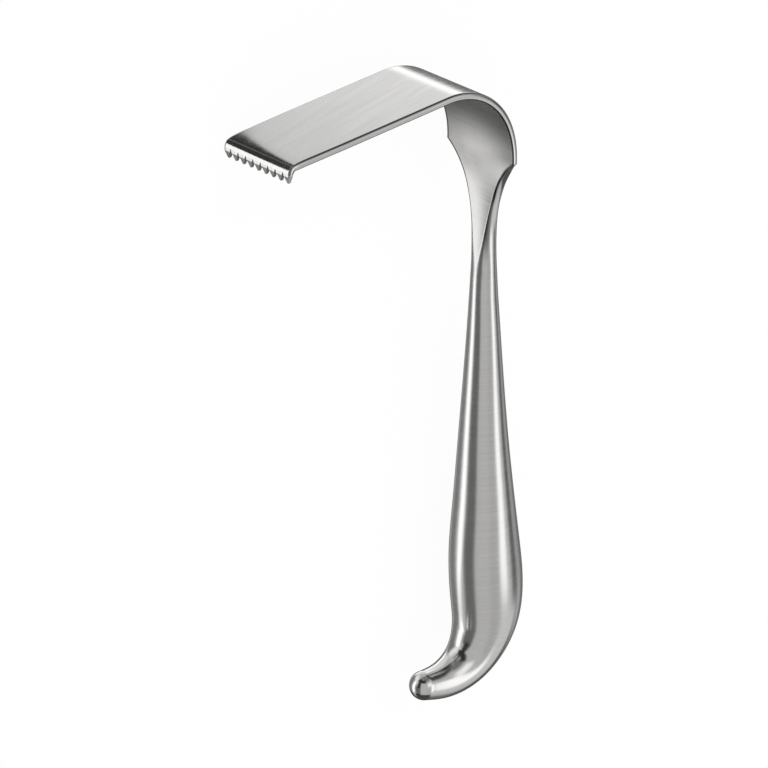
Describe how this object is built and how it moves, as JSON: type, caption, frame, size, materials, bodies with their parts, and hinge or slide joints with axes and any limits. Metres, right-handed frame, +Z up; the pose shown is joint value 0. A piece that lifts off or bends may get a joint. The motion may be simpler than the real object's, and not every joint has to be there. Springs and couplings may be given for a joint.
{
  "type": "handheld surgical retractor",
  "caption": "One-piece steel retractor: a wide flat blade with a toothed lip, bent at a right angle to a slim neck and a swelling grip that ends in a hook.",
  "frame": {"origin": "on the surface that the retractor lies on, under the middle of its box", "axes": "it lies on its side: +X along the grip from the hook to the shoulder, +Y from the shoulder along the blade to the toothed lip, +Z up, across the blade's width"},
  "size_m": [0.2401, 0.1233, 0.0313],
  "materials": {
    "steel": "satin brushed stainless steel, brighter on the hook"
  },
  "bodies": {
    "root": {"retractor": "steel"}
  },
  "joints": []
}
